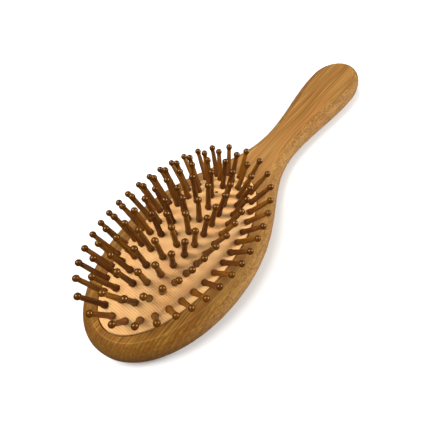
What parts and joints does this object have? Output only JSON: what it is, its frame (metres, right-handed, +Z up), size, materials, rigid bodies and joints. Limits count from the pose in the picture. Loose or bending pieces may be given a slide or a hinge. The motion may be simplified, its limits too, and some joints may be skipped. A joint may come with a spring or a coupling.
{
  "type": "cushion hair brush",
  "caption": "Oval cushion hair brush with a one-piece bamboo head and handle, a domed rubber air cushion and rings of ball-tipped wooden pins.",
  "frame": {"origin": "centre of the outline's box on the flat back, on the surface the brush rests on", "axes": "+X along the brush towards the end of the handle, +Z up out of the cushion, along the pins, +Y across"},
  "size_m": [0.225, 0.0656, 0.0425],
  "materials": {
    "bamboo": "sanded and lightly oiled, straight grain along the brush",
    "cushion_rubber": "matt, finely ribbed, skin coloured",
    "pin_wood": "lacquered, semi-gloss, chestnut brown"
  },
  "bodies": {
    "root": {"bamboo_body": "bamboo", "rubber_cushion": "cushion_rubber"},
    "pins_centre": {"pin_pair_centre_01": "pin_wood", "pin_pair_core_01": "pin_wood", "pin_pair_core_02": "pin_wood", "pin_pair_core_03": "pin_wood", "pin_pair_core_04": "pin_wood", "pin_pair_core_05": "pin_wood", "pin_pair_core_06": "pin_wood"},
    "pins_inner_sides": {"pin_pair_inner_02": "pin_wood", "pin_pair_inner_03": "pin_wood", "pin_pair_inner_04": "pin_wood", "pin_pair_inner_05": "pin_wood", "pin_pair_inner_08": "pin_wood", "pin_pair_inner_09": "pin_wood", "pin_pair_inner_10": "pin_wood"},
    "pins_inner_ends": {"pin_pair_inner_01": "pin_wood", "pin_pair_inner_06": "pin_wood", "pin_pair_inner_07": "pin_wood", "pin_pair_inner_11": "pin_wood"},
    "pins_middle_sides": {"pin_pair_middle_02": "pin_wood", "pin_pair_middle_03": "pin_wood", "pin_pair_middle_04": "pin_wood", "pin_pair_middle_05": "pin_wood", "pin_pair_middle_06": "pin_wood", "pin_pair_middle_10": "pin_wood", "pin_pair_middle_11": "pin_wood", "pin_pair_middle_12": "pin_wood", "pin_pair_middle_13": "pin_wood", "pin_pair_middle_14": "pin_wood"},
    "pins_middle_ends": {"pin_pair_middle_01": "pin_wood", "pin_pair_middle_07": "pin_wood", "pin_pair_middle_08": "pin_wood", "pin_pair_middle_09": "pin_wood", "pin_pair_middle_15": "pin_wood"},
    "pins_outer": {"pin_pair_outer_01": "pin_wood", "pin_pair_outer_02": "pin_wood", "pin_pair_outer_03": "pin_wood", "pin_pair_outer_04": "pin_wood", "pin_pair_outer_05": "pin_wood", "pin_pair_outer_06": "pin_wood", "pin_pair_outer_07": "pin_wood", "pin_pair_outer_08": "pin_wood", "pin_pair_outer_09": "pin_wood", "pin_pair_outer_10": "pin_wood", "pin_pair_outer_11": "pin_wood", "pin_pair_outer_12": "pin_wood", "pin_pair_outer_13": "pin_wood", "pin_pair_outer_14": "pin_wood", "pin_pair_outer_15": "pin_wood", "pin_pair_outer_16": "pin_wood", "pin_pair_outer_17": "pin_wood", "pin_pair_outer_18": "pin_wood"}
  },
  "joints": [
    {"name": "cushion_press", "type": "slide", "parent": "root", "child": "pins_centre", "axis": [0, 0, -1], "range_m": [0, 0.004], "stiffness_N_per_m": 7500, "deforming": ["rubber_cushion"]},
    {"name": "press_inner_sides", "type": "slide", "parent": "root", "child": "pins_inner_sides", "axis": [0, 0, -1], "range_m": [0, 0.00367]},
    {"name": "press_inner_ends", "type": "slide", "parent": "root", "child": "pins_inner_ends", "axis": [0, 0, -1], "range_m": [0, 0.00327]},
    {"name": "press_middle_sides", "type": "slide", "parent": "root", "child": "pins_middle_sides", "axis": [0, 0, -1], "range_m": [0, 0.00277]},
    {"name": "press_middle_ends", "type": "slide", "parent": "root", "child": "pins_middle_ends", "axis": [0, 0, -1], "range_m": [0, 0.00235]},
    {"name": "press_outer", "type": "slide", "parent": "root", "child": "pins_outer", "axis": [0, 0, -1], "range_m": [0, 0.00103]}
  ],
  "couplings": [
    {"joint": "press_inner_sides", "follows": "cushion_press", "ratio": 0.916},
    {"joint": "press_inner_ends", "follows": "cushion_press", "ratio": 0.814},
    {"joint": "press_middle_sides", "follows": "cushion_press", "ratio": 0.69},
    {"joint": "press_middle_ends", "follows": "cushion_press", "ratio": 0.584},
    {"joint": "press_outer", "follows": "cushion_press", "ratio": 0.255}
  ]
}
